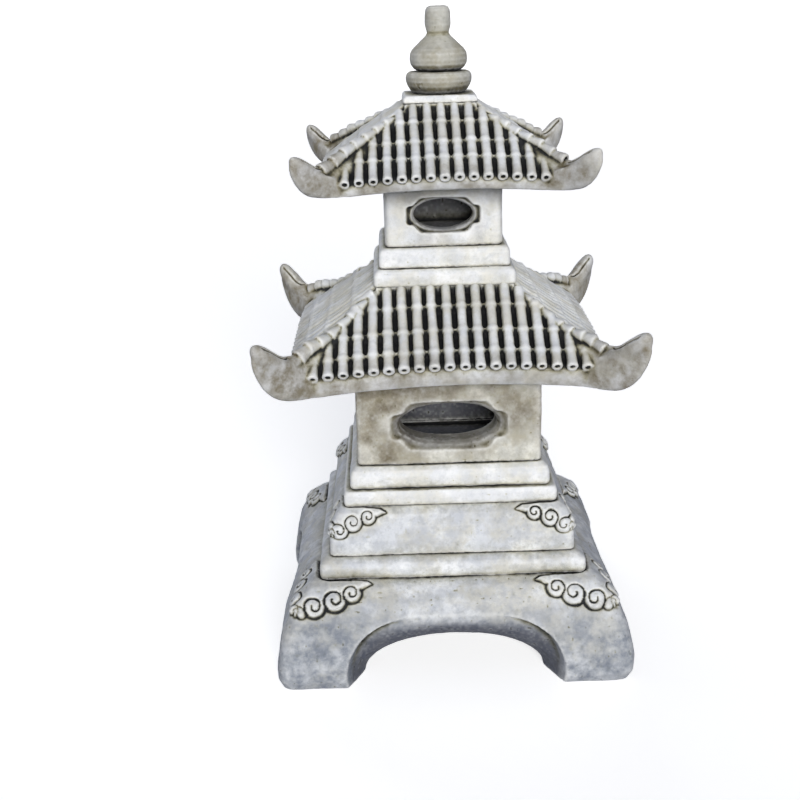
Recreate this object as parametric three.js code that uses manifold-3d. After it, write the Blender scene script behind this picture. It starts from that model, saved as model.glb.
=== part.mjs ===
// Two-tier stone garden lantern: a stack of separate cast stones, each in its own named mesh.
// Millimetres, +Z up, front towards -Y, origin on the ground under the middle of the base.
import * as THREE from 'three';
import { mergeVertices } from 'three/addons/utils/BufferGeometryUtils.js';
import Module from 'manifold-3d';

const wasm = await Module();
wasm.setup();

// ---- Driving dimensions ---------------------------------------------------------------------

const BED_GAP = 0.3; // open gap between two stones at a bed joint
const FIT = 0.5; // side clearance of a tongue in its socket
const SIDE_COUNT = 4;
const CORNER_STEPS = 3; // facets round one vertical corner of a stone

// Height of the bed under each stone.
const BED = {
  ground: 0, slab: 104, plinth: 125.5, lowerStep: 174, upperStep: 190.2, lowerLamp: 213.5,
  lowerRoof: 316, lowerCap: 397.7, seat: 415.5, upperLamp: 436.2, upperRoof: 503.5,
  upperCap: 576.9, finial: 584.5, jewel: 606.5, top: 670,
};

// Square tongue on the top of a stone, which the socket in the stone above sits over.
const TONGUE = { height: 6, baseHalf: 60, slabHalf: 54, capHalf: 30, lampHalf: 24 };

// Leg stone: outer profile as half-width and height, from the ground to the bed of the slab.
const LEG = {
  cornerRadius: 14,
  profile: [[180, 0], [184, 10], [184.5, 25], [183, 36], [178, 60], [171, 74], [162, 87], [149, 98.5],
    [139, 103.7]],
};

// Plain square courses: outer profile as half-width and height, from one bed to the next.
const SLAB = {
  cornerRadius: 6,
  profile: [[137.4, BED.slab], [138.4, 108], [138.2, 117], [135.5, 121], [129, BED.plinth - BED_GAP]],
};
const PLINTH = {
  cornerRadius: 7,
  profile: [[127.8, BED.plinth], [127.6, 143], [124.5, 156], [118, 166.5], [109.5, BED.lowerStep - BED_GAP]],
};
const LOWER_STEP = {
  cornerRadius: 5,
  profile: [[111.1, BED.lowerStep], [111.4, 186], [109.5, BED.upperStep - BED_GAP]],
};
const UPPER_STEP = {
  cornerRadius: 5,
  profile: [[103.8, BED.upperStep], [104.2, 204], [102.5, 209], [97, BED.lowerLamp - BED_GAP]],
};
const LOWER_CAP = {
  cornerRadius: 5,
  profile: [[73.2, BED.lowerCap], [73, 409], [70.7, 413.2], [68, BED.seat - BED_GAP]],
};
const SEAT = {
  cornerRadius: 5,
  profile: [[66.5, BED.seat], [66.9, 430], [65, 434.5], [62, BED.upperLamp - BED_GAP]],
};
const UPPER_CAP = {
  cornerRadius: 3,
  profile: [[37.8, BED.upperCap], [37.4, 581], [35.4, BED.finial - BED_GAP]],
};

// Arch between two legs: a wide mouth in the face that narrows to a lower vault inside.
const ARCH = {
  mouthHalf: 113, mouthHeight: 77, mouthPower: 3, vaultHalf: 94, vaultHeight: 40, vaultPower: 2,
  sideStart: 184, topStart: 170, depth: 40, overrun: 200, below: 6, steps: 18, stations: 5,
};

// Lamp boxes: half is the outer half-width, room the half-width of the hollow inside.
const LOWER_LAMP = { half: 96.2, room: 62, cornerRadius: 5, lip: 5, lipHeight: 6 };
const UPPER_LAMP = { half: 60.3, room: 41, cornerRadius: 8, floor: 445 };
const LAMP_FLOOR = 203; // floor of the lower lamp room, sunk into the step below

// Windows: an octagon with a square ear each side at the face, an oval behind it. The first
// openSides windows from the front go through to the room; the others are blind recesses.
const LOWER_WINDOW = {
  z: 255, halfHeight: 26.5, topHalf: 41, shoulder: 50, earHalf: 62, earHeight: 14, earRound: 6,
  ovalHalf: 51, ovalHeight: 21, bevel: 14, openSides: 4, blindDepth: 0,
};
const UPPER_WINDOW = {
  z: 468, halfHeight: 18, topHalf: 24.5, shoulder: 32.5, earHalf: 38, earHeight: 9, earRound: 2,
  ovalHalf: 30, ovalHeight: 15.2, bevel: 9, openSides: 1, blindDepth: 14,
};

// Roofs. Each ring runs once round the roof: half-width and height at mid-side, then at the
// corner, then the powers that carry the half-width and the height from one to the other.
const LOWER_ROOF = {
  rings: [
    [100, 316.3, 100, 316.3, 2, 2], [146, 314.5, 166, 308, 4, 2], [148, 318, 179, 316, 5, 4],
    [149, 323, 188, 330, 6, 6], [149.5, 327.5, 193, 345, 7, 7], [149, 331, 194, 360, 7, 7],
    [147.5, 333.5, 190, 373, 7, 8], [144, 339, 179, 366, 8, 9], [136, 347, 153, 352, 10, 10],
    [108, 367, 110, 364, 6, 6], [73, 391.5, 73, 391.5, 2, 2], [71, 397.4, 71, 397.4, 2, 2],
  ],
  tileCount: 19, tileSpacing: 14.9, tileRadius: 5, eave: 152.5, eaveHeight: 337, rise: 0.71,
  cornerDrop: 7.5, capHalf: 72, bedTop: 397.4,
  hip: [[68, 392], [92, 382], [118, 367], [138, 361], [152, 353.5]], hipHalf: 10, hipDepth: 16,
};
const UPPER_ROOF = {
  rings: [
    [64, 503.8, 64, 503.8, 2, 2], [112.5, 502, 131, 499.5, 4, 2], [114, 504.5, 141, 506, 5, 4],
    [115, 508, 147.5, 517, 6, 6], [115.2, 511, 150.5, 529, 7, 7], [114, 513.5, 147, 539, 7, 8],
    [111, 518, 137, 533, 8, 9], [104, 524, 119, 527.5, 10, 10], [80, 541, 82, 540, 6, 6],
    [38, 570.5, 38, 570.5, 2, 2], [36.5, 576.6, 36.5, 576.6, 2, 2],
  ],
  tileCount: 15, tileSpacing: 13.8, tileRadius: 4.4, eave: 117.5, eaveHeight: 516, rise: 0.7,
  cornerDrop: 4, capHalf: 37, bedTop: 576.6,
  hip: [[34, 571], [61, 561], [82, 550], [106, 537.5], [119, 531]], hipHalf: 8.5, hipDepth: 13,
};
const TILE_TUCK = 2; // how far the top of a tile row runs in under the cap or the hip
const EAVE_STATIONS = [-1, -0.96, -0.9, -0.8, -0.62, -0.35, 0, 0.35, 0.62, 0.8, 0.9, 0.96];

// Turned finial: radius and height, and the round peg that holds it in the roof.
const PEG = { radius: 9, tip: 566, holeFloor: 565.5, jewelRadius: 8, jewelLength: 7.5 };
const DISH_PROFILE = [[26, 584.8], [28.5, 586.5], [32, 592], [33.6, 598], [33.6, 602], [31, 605.4],
  [25.5, 606.2]];
const JEWEL_PROFILE = [[22, 606.8], [25.4, 608.6], [28.6, 613], [29.4, 618], [28.8, 623.5], [26.3, 628],
  [12.4, 641.4], [11.3, 643.8], [12.4, 646.4], [13.3, 651], [13.4, 660], [12.6, 665.6], [10.7, 668.8],
  [8.4, 670]];
const TURNED_SEGMENTS = 32;
const PEG_SEGMENTS = 24;

// ---- Solids ---------------------------------------------------------------------------------

// Closed body through a row of rings that all have the same number of points.
function ringSolid(rings) {
  const count = rings[0].length;
  const centre = (ring) => ring
    .reduce((sum, point) => sum.add(point), new THREE.Vector3())
    .divideScalar(count);
  const points = [...rings.flat(), centre(rings[0]), centre(rings.at(-1))];
  const firstCap = rings.length * count;
  const lastRow = firstCap - count;
  const index = [];
  for (let i = 0; i < count; i += 1) {
    const next = (i + 1) % count;
    for (let row = 0; row < lastRow; row += count) {
      index.push(row + i, row + next, row + count + next);
      index.push(row + i, row + count + next, row + count + i);
    }
    index.push(firstCap, next, i);
    index.push(firstCap + 1, lastRow + i, lastRow + next);
  }
  const geometry = new THREE.BufferGeometry().setFromPoints(points);
  geometry.setIndex(index);
  return geometry;
}

// Turned body about the Z axis; its profile starts and ends on the axis.
function turned(profile, segments) {
  const first = profile[0];
  const last = profile.at(-1);
  const outline = [[0, first[1]], ...profile, [0, last[1]]].map(([r, z]) => new THREE.Vector2(r, z));
  return new THREE.LatheGeometry(outline, segments).rotateX(Math.PI / 2);
}

function squareRing(half, z, radius) {
  const ring = [];
  for (let corner = 0; corner < SIDE_COUNT; corner += 1) {
    const middle = (corner + 0.5) * (Math.PI / 2);
    const reach = (half - radius) * Math.SQRT2;
    for (let step = 0; step <= CORNER_STEPS; step += 1) {
      const angle = (corner + step / CORNER_STEPS) * (Math.PI / 2);
      ring.push(new THREE.Vector3(
        reach * Math.cos(middle) + radius * Math.cos(angle),
        reach * Math.sin(middle) + radius * Math.sin(angle),
        z,
      ));
    }
  }
  return ring;
}

// Square stone with rounded vertical corners, from a profile of half-widths and heights.
function squareStone(profile, radius) {
  return solid(ringSolid(profile.map(([half, z]) => squareRing(half, z, radius))));
}

function squareBlock(half, bottom, top) {
  return solid(new THREE.BoxGeometry(2 * half, 2 * half, top - bottom).translate(0, 0, (top + bottom) / 2));
}

function roundBlock(radius, bottom, top) {
  return solid(turned([[radius, bottom], [radius, top]], PEG_SEGMENTS));
}

function solid(geometry) {
  geometry.deleteAttribute('normal');
  geometry.deleteAttribute('uv');
  const merged = mergeVertices(geometry);
  const mesh = new wasm.Mesh({
    numProp: 3,
    vertProperties: new Float32Array(merged.attributes.position.array),
    triVerts: new Uint32Array(merged.index.array),
  });
  return new wasm.Manifold(mesh);
}

function toGeometry(body) {
  const mesh = body.getMesh();
  const geometry = new THREE.BufferGeometry();
  geometry.setAttribute('position', new THREE.BufferAttribute(new Float32Array(mesh.vertProperties), 3));
  geometry.setIndex(new THREE.BufferAttribute(new Uint32Array(mesh.triVerts), 1));
  geometry.computeVertexNormals();
  return geometry;
}

const joined = (bodies) => bodies.reduce((sum, body) => sum.add(body));

// ---- Joints between stones ------------------------------------------------------------------

const tongue = (bed, half) => squareBlock(half, bed - TONGUE.height, bed + TONGUE.height);
const socket = (bed, half) => squareBlock(half + FIT, bed - TONGUE.height, bed + TONGUE.height + FIT);
const pegHole = (bottom, top) => roundBlock(PEG.radius + FIT, bottom, top);

// ---- Base courses ---------------------------------------------------------------------------

// Section of the arch at one distance from the middle of the lantern, facing along -Y.
function archRing(distance) {
  const sideTravel = THREE.MathUtils.clamp((ARCH.sideStart - distance) / ARCH.depth, 0, 1);
  const topTravel = THREE.MathUtils.clamp((ARCH.topStart - distance) / ARCH.depth, 0, 1);
  const roll = Math.sqrt(1 - (1 - topTravel) ** 2);
  const half = THREE.MathUtils.lerp(ARCH.mouthHalf, ARCH.vaultHalf, sideTravel);
  const height = THREE.MathUtils.lerp(ARCH.mouthHeight, ARCH.vaultHeight, roll);
  const power = THREE.MathUtils.lerp(ARCH.mouthPower, ARCH.vaultPower, roll);
  const ring = [
    new THREE.Vector3(-half, -distance, -ARCH.below),
    new THREE.Vector3(half, -distance, -ARCH.below),
  ];
  for (let step = 0; step <= ARCH.steps; step += 1) {
    const angle = (Math.PI * step) / ARCH.steps;
    const across = Math.sign(Math.cos(angle)) * Math.abs(Math.cos(angle)) ** (2 / power);
    ring.push(new THREE.Vector3(half * across, -distance, height * Math.sin(angle) ** (2 / power)));
  }
  return ring;
}

function archCutter() {
  const distances = [ARCH.overrun, ARCH.sideStart];
  for (let step = 0; step <= ARCH.stations; step += 1) {
    const turn = (Math.PI / 2) * (step / ARCH.stations);
    distances.push(ARCH.topStart - ARCH.depth * (1 - Math.cos(turn)));
  }
  const mirrored = distances.map((distance) => -distance).reverse();
  const backRing = (distance) => archRing(-distance).map((point) => point.setY(-distance));
  const rings = [...distances.map(archRing), ...mirrored.map(backRing)];
  return solid(ringSolid(rings.reverse()));
}

function legStone() {
  const cutter = archCutter();
  return squareStone(LEG.profile, LEG.cornerRadius)
    .add(tongue(BED.slab, TONGUE.baseHalf))
    .subtract(cutter)
    .subtract(cutter.rotate([0, 0, 90]));
}

function baseSlab() {
  return squareStone(SLAB.profile, SLAB.cornerRadius)
    .subtract(socket(BED.slab, TONGUE.baseHalf))
    .add(tongue(BED.plinth - BED_GAP, TONGUE.slabHalf));
}

function plinthStone() {
  return squareStone(PLINTH.profile, PLINTH.cornerRadius)
    .subtract(socket(BED.plinth, TONGUE.slabHalf))
    .add(tongue(BED.lowerStep - BED_GAP, TONGUE.baseHalf));
}

function lowerStep() {
  return squareStone(LOWER_STEP.profile, LOWER_STEP.cornerRadius)
    .subtract(socket(BED.lowerStep, TONGUE.baseHalf));
}

function upperStep() {
  const sunkHalf = LOWER_LAMP.room + LOWER_LAMP.lip + FIT;
  return squareStone(UPPER_STEP.profile, UPPER_STEP.cornerRadius)
    .subtract(squareBlock(sunkHalf, BED.lowerLamp - LOWER_LAMP.lipHeight - FIT, BED.lowerRoof))
    .subtract(squareBlock(LOWER_LAMP.room, LAMP_FLOOR, BED.lowerRoof));
}

// ---- Lamp boxes -----------------------------------------------------------------------------

// One quarter of the window outline at the face, from the middle of the top edge to the ear's end.
function windowQuarter(window) {
  const { halfHeight, topHalf, shoulder, earHalf, earHeight, earRound } = window;
  return [[0, halfHeight], [topHalf / 2, halfHeight], [topHalf, halfHeight], [shoulder, earHeight],
    [earHalf - earRound, earHeight], [earHalf, earHeight - earRound], [earHalf, 0]];
}

// Whole window outline at the face, as points across and up from the window's centre.
function windowFace(window) {
  const quarter = windowQuarter(window);
  const back = [...quarter].reverse();
  return [
    ...quarter,
    ...back.slice(1).map(([x, z]) => [x, -z]),
    ...quarter.slice(1).map(([x, z]) => [-x, -z]),
    ...back.slice(1, -1).map(([x, z]) => [-x, z]),
  ];
}

// The oval behind the bevel, point for point with the face outline.
function windowOval(window) {
  return windowFace(window).map(([x, z]) => {
    const angle = Math.atan2(z / window.halfHeight, x / window.earHalf);
    return [window.ovalHalf * Math.cos(angle), window.ovalHeight * Math.sin(angle)];
  });
}

// Cutter for one window in the front wall; it ends a given distance from the lantern's axis.
function windowCutter(window, half, end) {
  const place = (outline, distance) => outline
    .map(([x, z]) => new THREE.Vector3(x, -distance, window.z + z));
  const face = windowFace(window);
  const oval = windowOval(window);
  return solid(ringSolid([
    place(face, half + window.bevel),
    place(face, half),
    place(oval, half - window.bevel),
    place(oval, end),
  ]));
}

// Takes a window out of each of the four walls.
function withWindows(box, window, half, room) {
  let result = box;
  for (let side = 0; side < SIDE_COUNT; side += 1) {
    const end = side < window.openSides ? room - window.bevel : half - window.blindDepth;
    result = result.subtract(windowCutter(window, half, end).rotate([0, 0, 90 * side]));
  }
  return result;
}

// Open tube of stone whose lip drops into the sunk floor of the step below.
function lowerLampBox() {
  const { half, room, cornerRadius, lip, lipHeight } = LOWER_LAMP;
  const top = BED.lowerRoof - BED_GAP;
  const walls = squareStone([[half, BED.lowerLamp], [half, top]], cornerRadius)
    .add(squareBlock(room + lip, BED.lowerLamp - lipHeight, top))
    .subtract(squareBlock(room, BED.upperStep, BED.lowerCap));
  return withWindows(walls, LOWER_WINDOW, half, room);
}

function upperSeat() {
  return squareStone(SEAT.profile, SEAT.cornerRadius)
    .subtract(socket(BED.seat, TONGUE.lampHalf))
    .add(tongue(BED.upperLamp - BED_GAP, TONGUE.lampHalf));
}

function upperLampBox() {
  const { half, room, cornerRadius, floor } = UPPER_LAMP;
  const box = squareStone([[half, BED.upperLamp], [half, BED.upperRoof - BED_GAP]], cornerRadius)
    .subtract(squareBlock(room, floor, BED.upperCap))
    .subtract(socket(BED.upperLamp, TONGUE.lampHalf));
  return withWindows(box, UPPER_WINDOW, half, room);
}

// ---- Roofs ----------------------------------------------------------------------------------

// One ring round the roof, swept out and up towards its four corners.
function roofRing([middleHalf, middleZ, cornerHalf, cornerZ, outPower, upPower]) {
  const ring = [];
  for (let side = 0; side < SIDE_COUNT; side += 1) {
    for (const along of EAVE_STATIONS) {
      const half = THREE.MathUtils.lerp(middleHalf, cornerHalf, Math.abs(along) ** outPower);
      const z = THREE.MathUtils.lerp(middleZ, cornerZ, Math.abs(along) ** upPower);
      ring.push(new THREE.Vector3(along * half, -half, z)
        .applyAxisAngle(new THREE.Vector3(0, 0, 1), (side * Math.PI) / 2));
    }
  }
  return ring;
}

// Straight bar between two points of a front slope, with a section of the given points.
function slopeBar(section, stations) {
  return solid(ringSolid(stations.map(({ at, across }) => section
    .map(([side, up]) => at.clone().addScaledVector(across, side).add(new THREE.Vector3(0, 0, up))))));
}

// Row of tiles down one slope: a rod with bevelled shoulders from the hip or the cap to the eave.
function tileRod(roof, x) {
  const lastRow = (roof.tileSpacing * (roof.tileCount - 1)) / 2;
  const drop = roof.cornerDrop * (x / lastRow) ** 2;
  const top = Math.max(Math.abs(x), roof.capHalf) - TILE_TUCK;
  const rod = roof.tileRadius;
  const section = [[-rod, -rod], [rod, -rod], [rod / 2, rod], [-rod / 2, rod]];
  const across = new THREE.Vector3(1, 0, 0);
  const station = (distance) => ({
    at: new THREE.Vector3(x, -distance, roof.eaveHeight + (roof.eave - distance) * roof.rise - drop),
    across,
  });
  return slopeBar(section, [station(top), station(roof.eave)]);
}

// Ridge that covers the joint between two slopes, from the cap to the root of the horn.
function hipRidge(roof) {
  const { hipHalf, hipDepth } = roof;
  const section = [[-hipHalf, -hipDepth], [hipHalf, -hipDepth], [hipHalf, -hipHalf], [hipHalf / 2, 0],
    [-hipHalf / 2, 0], [-hipHalf, -hipHalf]];
  const across = new THREE.Vector3(1, 1, 0).normalize();
  return slopeBar(section, roof.hip.map(([half, z]) => ({ at: new THREE.Vector3(half, -half, z), across })));
}

function roofBody(roof) {
  const bodies = [solid(ringSolid(roof.rings.map(roofRing)))];
  const rods = [];
  for (let tile = 0; tile < roof.tileCount; tile += 1) {
    rods.push(tileRod(roof, (tile - (roof.tileCount - 1) / 2) * roof.tileSpacing));
  }
  const slope = joined([...rods, hipRidge(roof)]);
  for (let side = 0; side < SIDE_COUNT; side += 1) {
    bodies.push(slope.rotate([0, 0, 90 * side]));
  }
  return joined(bodies).subtract(squareBlock(2 * roof.capHalf, roof.bedTop, BED.top));
}

function lowerRoof() {
  const plugHalf = LOWER_LAMP.room - FIT;
  return roofBody(LOWER_ROOF)
    .add(squareBlock(plugHalf, BED.lowerRoof - TONGUE.height, BED.lowerRoof + TONGUE.height))
    .add(tongue(BED.lowerCap - BED_GAP, TONGUE.capHalf));
}

function lowerRoofCap() {
  return squareStone(LOWER_CAP.profile, LOWER_CAP.cornerRadius)
    .subtract(socket(BED.lowerCap, TONGUE.capHalf))
    .add(tongue(BED.seat - BED_GAP, TONGUE.lampHalf));
}

function upperRoof() {
  const plugHalf = UPPER_LAMP.room - FIT;
  return roofBody(UPPER_ROOF)
    .add(squareBlock(plugHalf, BED.upperRoof - TONGUE.height, BED.upperRoof + TONGUE.height))
    .subtract(pegHole(PEG.holeFloor, BED.top));
}

function upperRoofCap() {
  return squareStone(UPPER_CAP.profile, UPPER_CAP.cornerRadius)
    .subtract(pegHole(BED.upperRoof, BED.top));
}

// ---- Finial ---------------------------------------------------------------------------------

function finialDish() {
  return solid(turned(DISH_PROFILE, TURNED_SEGMENTS))
    .add(roundBlock(PEG.radius, PEG.tip, BED.finial + FIT))
    .subtract(roundBlock(PEG.jewelRadius + FIT, BED.jewel - PEG.jewelLength - FIT, BED.top));
}

function finialJewel() {
  return solid(turned(JEWEL_PROFILE, TURNED_SEGMENTS))
    .add(roundBlock(PEG.jewelRadius, BED.jewel - PEG.jewelLength, BED.jewel + FIT));
}

// ---- Materials and assembly -----------------------------------------------------------------

const stoneFinish = (color, roughness) => new THREE.MeshStandardMaterial({ color, roughness, metalness: 0 });

const STONES = [
  ['leg_base', legStone, stoneFinish(0xc2c7cf, 0.9)],
  ['base_slab', baseSlab, stoneFinish(0xd6dade, 0.88)],
  ['plinth_stone', plinthStone, stoneFinish(0xcfd3d4, 0.88)],
  ['lower_step', lowerStep, stoneFinish(0xdcdfdd, 0.88)],
  ['upper_step', upperStep, stoneFinish(0xe2e4e1, 0.88)],
  ['lower_lamp_box', lowerLampBox, stoneFinish(0xaeaa98, 0.92)],
  ['lower_roof', lowerRoof, stoneFinish(0xbfc0b8, 0.9)],
  ['lower_roof_cap', lowerRoofCap, stoneFinish(0xe8e9e6, 0.86)],
  ['upper_seat', upperSeat, stoneFinish(0xe6e8e6, 0.86)],
  ['upper_lamp_box', upperLampBox, stoneFinish(0xd5d9dc, 0.88)],
  ['upper_roof', upperRoof, stoneFinish(0xc3c4bc, 0.9)],
  ['upper_roof_cap', upperRoofCap, stoneFinish(0xdadbd6, 0.88)],
  ['finial_dish', finialDish, stoneFinish(0xb5b4a8, 0.9)],
  ['finial_jewel', finialJewel, stoneFinish(0xaeada0, 0.9)],
];

const lantern = new THREE.Group();
for (const [name, build, material] of STONES) {
  const stone = new THREE.Mesh(toGeometry(build()), material);
  stone.name = name;
  lantern.add(stone);
}

export default lantern;
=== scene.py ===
import math

import bmesh
import bpy
import numpy as np
from mathutils import Matrix


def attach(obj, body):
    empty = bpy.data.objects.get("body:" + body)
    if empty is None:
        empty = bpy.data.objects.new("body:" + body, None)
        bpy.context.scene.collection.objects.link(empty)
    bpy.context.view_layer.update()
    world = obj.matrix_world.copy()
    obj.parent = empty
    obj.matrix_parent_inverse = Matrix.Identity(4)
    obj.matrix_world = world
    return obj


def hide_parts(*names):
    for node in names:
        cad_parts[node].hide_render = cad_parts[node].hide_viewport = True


# Two-tier stone garden lantern. Shapes are worked out in millimetres and become metres at the end.
MM = 0.001
SIDES = 4

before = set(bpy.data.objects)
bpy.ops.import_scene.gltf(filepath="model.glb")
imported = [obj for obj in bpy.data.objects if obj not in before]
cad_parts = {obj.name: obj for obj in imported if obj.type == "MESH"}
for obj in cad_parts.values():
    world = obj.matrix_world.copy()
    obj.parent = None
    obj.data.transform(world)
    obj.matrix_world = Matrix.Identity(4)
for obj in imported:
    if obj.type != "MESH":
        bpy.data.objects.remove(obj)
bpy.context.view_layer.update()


# ---- Camera, light and floor ----

CAMERA_PLACE = (-51.55, -1358.86, 694.08)
CAMERA_YAW, CAMERA_PITCH, CAMERA_ROLL = 0.091, 17.957, -1.725
CAMERA_LENS, CAMERA_SENSOR = 58.15, 36.0
CAMERA_REACH = 100.0


def add_camera():
    yaw, pitch, roll = (math.radians(a) for a in (CAMERA_YAW, CAMERA_PITCH, CAMERA_ROLL))
    forward = np.array([math.sin(yaw) * math.cos(pitch), math.cos(yaw) * math.cos(pitch), -math.sin(pitch)])
    level = np.array([math.cos(yaw), -math.sin(yaw), 0.0])
    upright = np.cross(level, forward)
    right = math.cos(roll) * level + math.sin(roll) * upright
    up = -math.sin(roll) * level + math.cos(roll) * upright
    turn = np.eye(4)
    turn[:3, 0], turn[:3, 1], turn[:3, 2] = right, up, -forward
    turn[:3, 3] = np.array(CAMERA_PLACE) * MM
    data = bpy.data.cameras.new("camera")
    data.lens, data.sensor_width = CAMERA_LENS, CAMERA_SENSOR
    data.clip_end = CAMERA_REACH
    camera = bpy.data.objects.new("camera", data)
    camera.matrix_world = Matrix(turn.tolist())
    bpy.context.scene.collection.objects.link(camera)
    bpy.context.scene.camera = camera


# Each sun: the direction it shines from, its strength, its angular size in degrees and its colour.
KEY = ((0.06, -0.93, 0.27), 3.1, 24.0, (1.0, 0.985, 0.955))
FILL = ((-0.30, 0.94, 0.16), 1.5, 40.0, (0.93, 0.96, 1.0))
SKY_COLOUR, SKY_STRENGTH = (0.46, 0.54, 0.80), 0.15


def add_sun(name, source, strength, spread, colour):
    sun = bpy.data.lights.new(name, "SUN")
    sun.energy, sun.angle, sun.color = strength, math.radians(spread), colour
    lamp = bpy.data.objects.new(name, sun)
    bpy.context.scene.collection.objects.link(lamp)
    z = np.array(source) / np.linalg.norm(source)
    x = np.cross((0, 0, 1), z)
    x /= np.linalg.norm(x)
    turn = np.eye(4)
    turn[:3, 0], turn[:3, 1], turn[:3, 2] = x, np.cross(z, x), z
    lamp.matrix_world = Matrix(turn.tolist())


def add_light():
    add_sun("key", *KEY)
    add_sun("fill", *FILL)
    world = bpy.data.worlds.new("studio")
    world.use_nodes = True
    back = world.node_tree.nodes["Background"]
    back.inputs["Color"].default_value = (*SKY_COLOUR, 1)
    back.inputs["Strength"].default_value = SKY_STRENGTH
    bpy.context.scene.world = world
    bpy.context.scene.view_settings.view_transform = "Standard"


# Floor in metres, as radius and height: flat under the lantern, and curved up far behind it.
STAGE_PROFILE = [(0.02, 0), (1, 0), (4, 0), (6, 0.15), (7.2, 0.8), (7.8, 2), (8, 4), (8, 8)]
STAGE_SEGMENTS = 96
STAGE_PALE, STAGE_GLOW = (0.93, 0.93, 0.93, 1), 0.62


def add_stage():
    angles = np.arange(STAGE_SEGMENTS) * 2 * math.pi / STAGE_SEGMENTS
    rings = [np.stack([r * np.cos(angles), r * np.sin(angles), np.full_like(angles, z)], 1)
             for r, z in STAGE_PROFILE]
    points, faces = shell(rings, ends=(True, False))
    mesh = bpy.data.meshes.new("studio_floor")
    mesh.from_pydata(points.tolist(), [], faces)
    mesh.shade_smooth()
    floor = bpy.data.objects.new("studio_floor", mesh)
    bpy.context.scene.collection.objects.link(floor)
    floor.visible_diffuse = False
    floor.visible_shadow = False
    material = bpy.data.materials.new("studio_floor")
    material.use_nodes = True
    shader = material.node_tree.nodes["Principled BSDF"]
    shader.inputs["Base Color"].default_value = STAGE_PALE
    shader.inputs["Roughness"].default_value = 1.0
    shader.inputs["Specular IOR Level"].default_value = 0.0
    shader.inputs["Emission Color"].default_value = (1, 1, 1, 1)
    shader.inputs["Emission Strength"].default_value = STAGE_GLOW
    mesh.materials.append(material)


# ---- Closed surfaces ----

def shell(rings, ends=(True, True)):
    """Surface through rings that have the same number of points, closed at its ends by a fan."""
    rings = np.asarray(rings, float)
    rows, count, _ = rings.shape
    here = np.arange(count)
    after = (here + 1) % count
    row = np.arange(rows - 1)[:, None] * count
    faces = np.stack([row + here, row + after, row + count + after, row + count + here], -1)
    faces = faces.reshape(-1, 4).tolist()
    points = [rings.reshape(-1, 3)]
    total = rows * count
    if ends[0]:
        points.append(rings[0].mean(0, keepdims=True))
        faces += np.stack([np.full(count, total), after, here], -1).tolist()
        total += 1
    if ends[1]:
        points.append(rings[-1].mean(0, keepdims=True))
        last = (rows - 1) * count
        faces += np.stack([np.full(count, total), last + here, last + after], -1).tolist()
    return np.vstack(points), faces


def turned_points(points, quarter_turns):
    c, s = [(1, 0), (0, 1), (-1, 0), (0, -1)][quarter_turns % SIDES]
    return points @ np.array([[c, s, 0], [-s, c, 0], [0, 0, 1]])


def turned(part, quarter_turns):
    points, faces = part
    return turned_points(points, quarter_turns), faces


def round_square(half, z, radius, side_points=24, corner_points=6):
    """Ring round a square with rounded corners, anticlockwise from above."""
    radius = min(radius, half)
    reach = half - radius
    ring = []
    for corner in range(SIDES):
        middle = (corner + 0.5) * math.pi / 2
        centre = reach * math.sqrt(2) * np.array([math.cos(middle), math.sin(middle)])
        for step in range(corner_points + 1):
            angle = (corner + step / corner_points) * math.pi / 2
            ring.append(centre + radius * np.array([math.cos(angle), math.sin(angle)]))
        following = (corner + 1.5) * math.pi / 2
        target = reach * math.sqrt(2) * np.array([math.cos(following), math.sin(following)])
        outward = np.array([math.cos((corner + 1) * math.pi / 2), math.sin((corner + 1) * math.pi / 2)])
        for step in range(1, side_points):
            t = step / side_points
            ring.append((1 - t) * centre + t * target + radius * outward)
    ring = np.array(ring)
    return np.column_stack([ring, np.full(len(ring), z)])


def square_rings(profile, radius):
    """Rings from rows of half-width, height and, where it differs, corner radius."""
    return [round_square(half, z, *(own or [radius])) for half, z, *own in profile]


def square_stone(profile, radius):
    return shell(square_rings(profile, radius))


def lathe(profile, segments=96):
    """Turned stone from rows of radius and height."""
    angles = np.arange(segments) * 2 * math.pi / segments
    return shell([np.column_stack([r * np.cos(angles), r * np.sin(angles), np.full(segments, z)])
                  for r, z in profile])


def bar(axis, radii, across, upward=None, segments=16):
    """Round bar along an axis of points, with its own radius at each, in the plane across and upward."""
    angles = np.arange(segments) * 2 * math.pi / segments
    axis, across = np.asarray(axis, float), np.asarray(across, float)
    if upward is None:
        tangents = np.gradient(axis, axis=0)
        upward = np.cross(across, tangents / np.linalg.norm(tangents, axis=1)[:, None])
    else:
        upward = np.tile(np.asarray(upward, float), (len(axis), 1))
    return shell([point + radius * (np.outer(np.cos(angles), across) + np.outer(np.sin(angles), up))
                  for point, radius, up in zip(axis, radii, upward)])


def joined(parts):
    """All parts as one list of points and faces; they may run through each other."""
    points, faces, total = [], [], 0
    for part_points, part_faces in parts:
        points.append(part_points)
        faces += [[i + total for i in face] for face in part_faces]
        total += len(part_points)
    return np.vstack(points), faces


# ---- Noise ----

def lattice(cell, seed):
    """Even random value in -1 to 1 for each whole-number cell."""
    h = (cell[:, 0] * 374761393 + cell[:, 1] * 668265263 + cell[:, 2] * 2147483647 + seed * 974634777)
    h = (h ^ (h >> 13)) * 1274126177
    h = (h ^ (h >> 16)) & 0xFFFFFF
    return h / 0x7FFFFF - 1.0


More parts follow.
